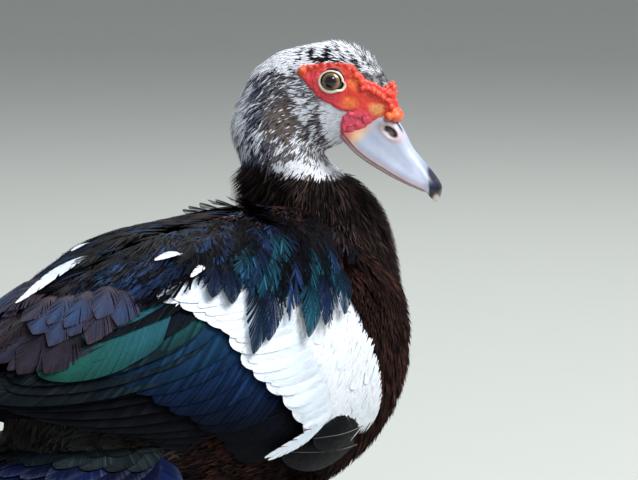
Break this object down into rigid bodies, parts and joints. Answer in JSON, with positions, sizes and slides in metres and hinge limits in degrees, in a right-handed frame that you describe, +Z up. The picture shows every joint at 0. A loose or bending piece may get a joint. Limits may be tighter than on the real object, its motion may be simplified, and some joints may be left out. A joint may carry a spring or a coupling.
{
  "type": "muscovy duck",
  "caption": "Life-size still muscovy duck standing on both webbed feet, wings folded and head turned over its right side, with a red warty face and a slim pale bill.",
  "frame": {"origin": "on the floor under the middle of the bird's box", "axes": "+X the way the body faces, +Y the bird's left, +Z up"},
  "size_m": [0.4244, 0.2264, 0.3609],
  "materials": {
    "plumage_body": "brown-black body feathers, matt",
    "plumage_head": "white crown and collar feathers flecked with black, brown-grey cheek, matt",
    "plumage_wing": "white small wing coverts over blue-black flight feathers",
    "plumage_gloss": "blue and green glossed black feathers, satin",
    "face_skin": "bare warty red and orange skin, slightly moist",
    "bill": "pale blue-grey horn with a pink edge, satin",
    "bill_nail": "black horn, satin",
    "eye": "brown iris round a black pupil under a clear glossy surface",
    "leg_skin": "dusky scaled skin, satin"
  },
  "bodies": {
    "root": {"torso": "plumage_body", "neck": "plumage_body", "head": "plumage_head", "tail": "plumage_gloss", "bill_upper": "bill", "bill_nail": "bill_nail", "bill_lower": "bill", "eye_right": "eye", "eye_left": "eye", "wing_right": "plumage_wing", "wing_left": "plumage_wing", "mantle_right": "plumage_gloss", "mantle_left": "plumage_gloss", "thigh_right": "plumage_body", "thigh_left": "plumage_body", "shank_right": "leg_skin", "shank_left": "leg_skin", "foot_right": "leg_skin", "foot_left": "leg_skin"}
  },
  "joints": []
}
